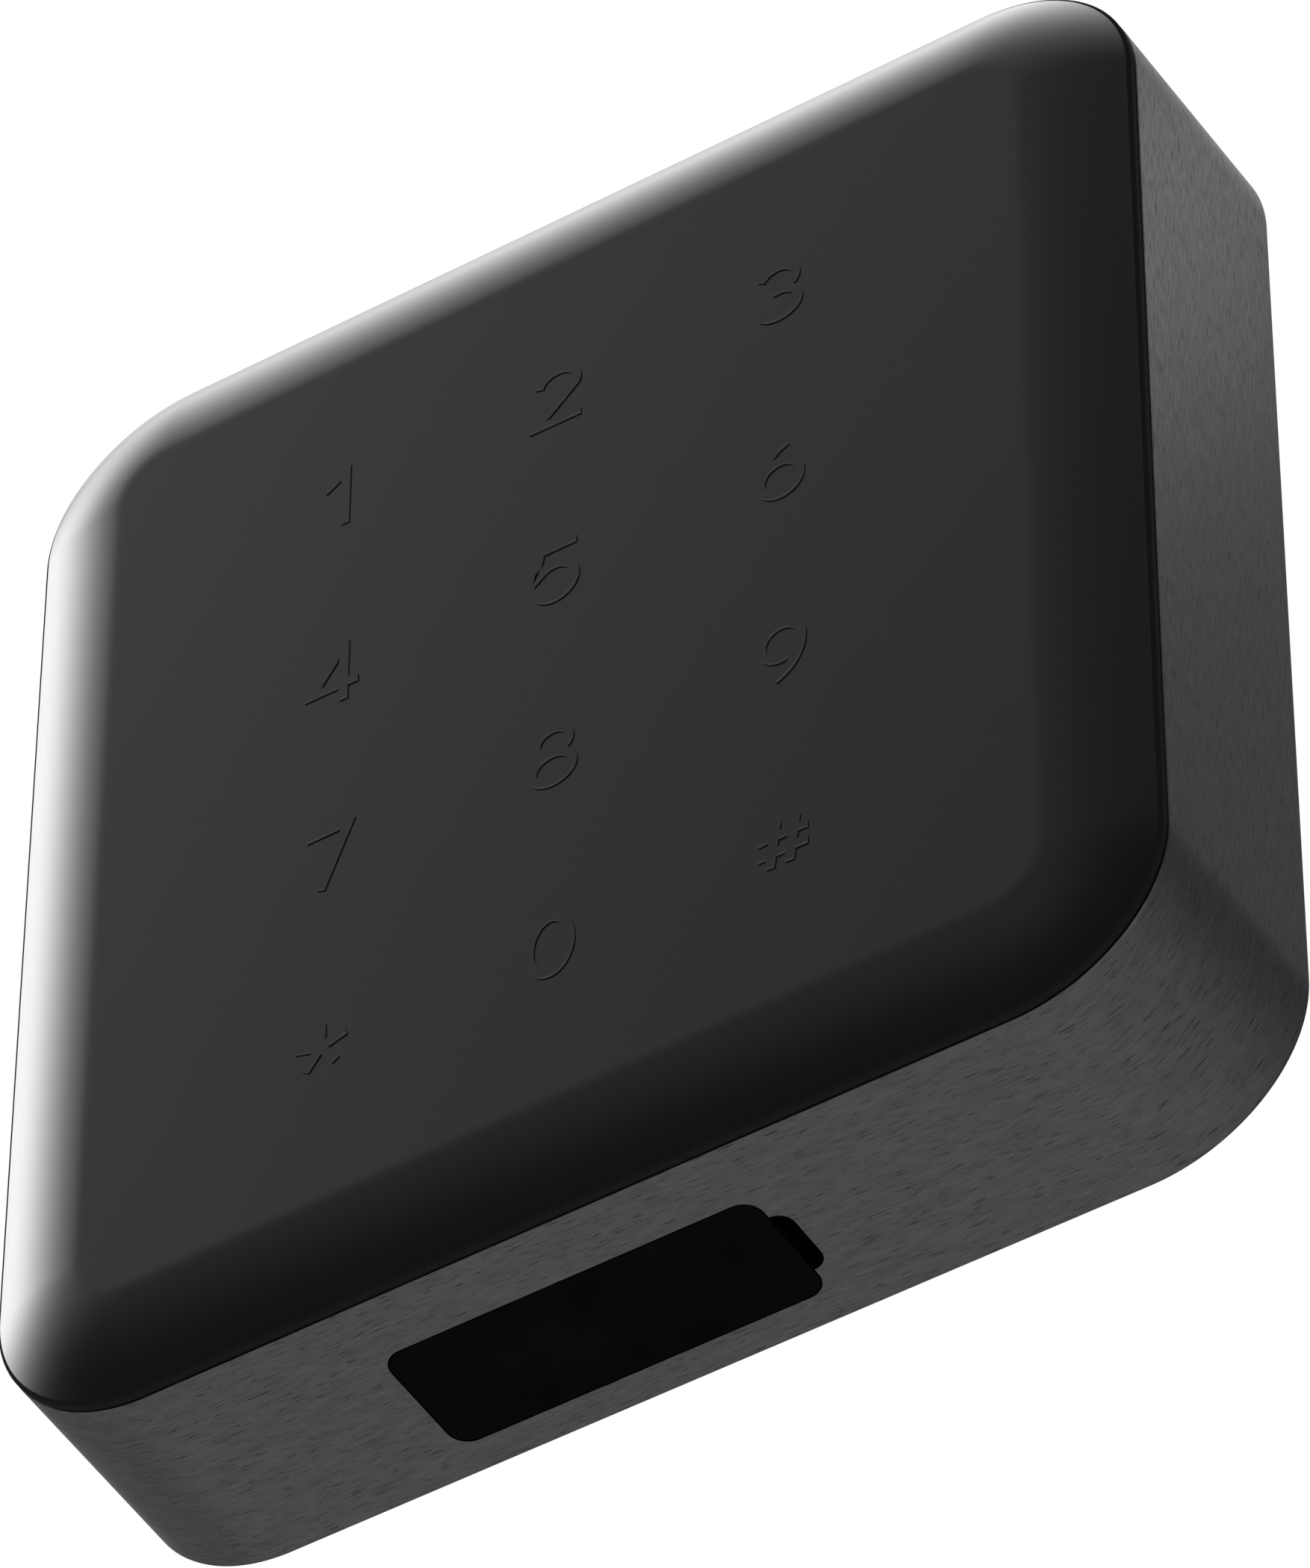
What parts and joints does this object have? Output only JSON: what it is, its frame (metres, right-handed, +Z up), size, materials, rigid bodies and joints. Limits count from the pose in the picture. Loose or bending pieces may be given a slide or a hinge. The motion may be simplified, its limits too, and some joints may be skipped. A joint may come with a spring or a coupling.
{
  "type": "alarm keypad panel",
  "caption": "Wall keypad for an alarm: touch face with raised digits, brushed metal housing, pull-out battery drawer below and a hook-on wall bracket.",
  "frame": {"origin": "middle of the wall bracket's back face, in the wall's plane", "axes": "+Z up, +Y into the wall, -Y towards the user, +X to the user's right"},
  "size_m": [0.11, 0.0247, 0.1194],
  "materials": {
    "brushed_band": "brushed along the band and anodised dark grey",
    "gloss_cover": "polished black moulding",
    "hatch_abs": "matt black moulding",
    "black_abs": "fine spark-eroded texture",
    "zinc_plate": "zinc-plated sheet",
    "seal_rubber": "closed-cell foam rubber",
    "adhesive": "clear acrylic adhesive film",
    "circuit_board": "green solder mask over glass-epoxy laminate",
    "screw_steel": "nickel-plated screws",
    "chip_epoxy": "moulded epoxy packages",
    "tin_plate": "tin-plated sheet",
    "contact_brass": "nickel-flashed brass sheet",
    "socket_nylon": "natural nylon",
    "ribbon_film": "polyester film over flat conductors",
    "spring_steel": "nickel-plated music wire",
    "white_acetal": "natural acetal",
    "cell_jacket": "printed film over a steel can"
  },
  "bodies": {
    "bracket": {"wall_bracket": "zinc_plate"},
    "unit": {"housing": "brushed_band", "front_cover": "gloss_cover", "cover_seal": "seal_rubber", "adhesive_sheet": "adhesive", "touch_board": "circuit_board", "chassis": "black_abs", "cover_screws": "screw_steel", "main_board": "circuit_board", "board_screws": "screw_steel", "chips": "chip_epoxy", "capacitors": "chip_epoxy", "shield_can": "tin_plate", "antenna": "contact_brass", "sounder": "black_abs", "ribbon_sockets": "socket_nylon", "ribbon_cable": "ribbon_film", "rear_cover": "black_abs", "case_screws": "screw_steel", "tamper_switch": "black_abs", "tamper_spring": "spring_steel", "fixed_contacts": "contact_brass", "fixed_spring": "spring_steel"},
    "drawer": {"battery_tray": "black_abs", "hatch_plate": "hatch_abs", "cells": "cell_jacket", "tray_contacts": "contact_brass", "tray_springs": "spring_steel", "return_strip": "contact_brass"},
    "plunger": {"tamper_plunger": "white_acetal"}
  },
  "joints": [
    {"name": "unit_lift", "type": "slide", "parent": "bracket", "child": "unit", "axis": [0, 0, 1], "range_m": [0, 0.008]},
    {"name": "drawer_slide", "type": "slide", "parent": "unit", "child": "drawer", "axis": [0, 0, -1], "range_m": [0, 0.05]},
    {"name": "plunger_press", "type": "slide", "parent": "unit", "child": "plunger", "axis": [0, 1, 0], "range_m": [0, 0.002], "stiffness_N_per_m": 150, "springref_m": 0.004, "deforming": ["tamper_spring"]}
  ]
}
